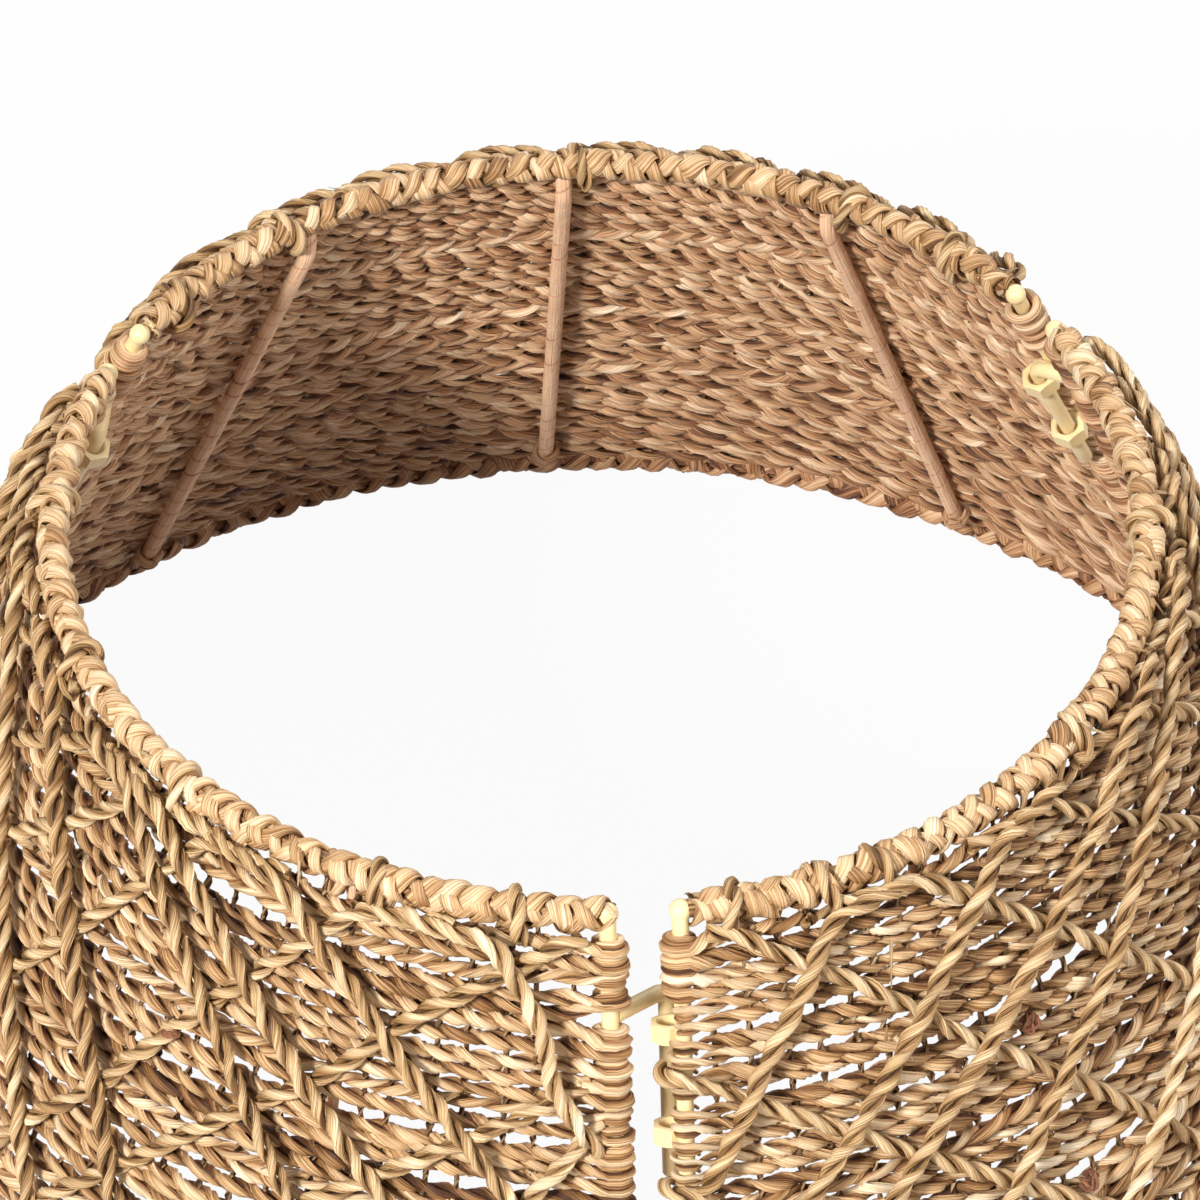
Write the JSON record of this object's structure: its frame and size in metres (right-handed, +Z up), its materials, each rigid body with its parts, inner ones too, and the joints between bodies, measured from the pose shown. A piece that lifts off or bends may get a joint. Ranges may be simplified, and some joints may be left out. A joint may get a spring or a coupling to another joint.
{
  "type": "christmas tree collar",
  "caption": "Flared woven seagrass ring of hinged panels on a wire frame that stands round the foot of a decorated tree and hides its stand.",
  "frame": {"origin": "centre of the ring on the floor", "axes": "+Z up along the ring's axis; the open join faces -Y"},
  "size_m": [0.6746, 0.6746, 0.2854],
  "materials": {
    "weave": "matte",
    "binding": "matte",
    "lattice": "matte",
    "wire": "satin",
    "tape": "matte"
  },
  "bodies": {
    "back_panel": {"back_top_rail": "wire", "back_bottom_rail": "wire", "back_nut_rod": "wire", "back_pin_rod": "wire", "back_strut_1": "tape", "back_strut_2": "tape", "back_strut_3": "tape", "back_woven_sheet": "weave", "back_top_binding": "binding", "back_bottom_binding": "binding", "back_lattice": "lattice", "back_nut_upper": "wire", "back_nut_lower": "wire", "back_hinge_pin": "wire"},
    "left_wing": {"left_top_rail": "wire", "left_bottom_rail": "wire", "left_nut_rod": "wire", "left_pin_rod": "wire", "left_strut_1": "tape", "left_strut_2": "tape", "left_strut_3": "tape", "left_woven_sheet": "weave", "left_top_binding": "binding", "left_bottom_binding": "binding", "left_lattice": "lattice", "left_nut_upper": "wire", "left_nut_lower": "wire", "left_hinge_pin": "wire"},
    "right_wing": {"right_top_rail": "wire", "right_bottom_rail": "wire", "right_nut_rod": "wire", "right_pin_rod": "wire", "right_strut_1": "tape", "right_strut_2": "tape", "right_strut_3": "tape", "right_woven_sheet": "weave", "right_top_binding": "binding", "right_bottom_binding": "binding", "right_lattice": "lattice", "right_nut_upper": "wire", "right_nut_lower": "wire", "right_hinge_pin": "wire"}
  },
  "joints": [
    {"name": "right_wing_swing", "type": "hinge", "parent": "back_panel", "child": "right_wing", "pos_m": [0.17829, 0.11275, 0.23601], "axis": [-0.3712, -0.2143, 0.9035], "range_deg": [0, 45]},
    {"name": "left_wing_swing", "type": "hinge", "parent": "back_panel", "child": "left_wing", "pos_m": [-0.18679, 0.09803, 0.23601], "axis": [-0.3712, 0.2143, -0.9035], "range_deg": [0, 45]}
  ]
}
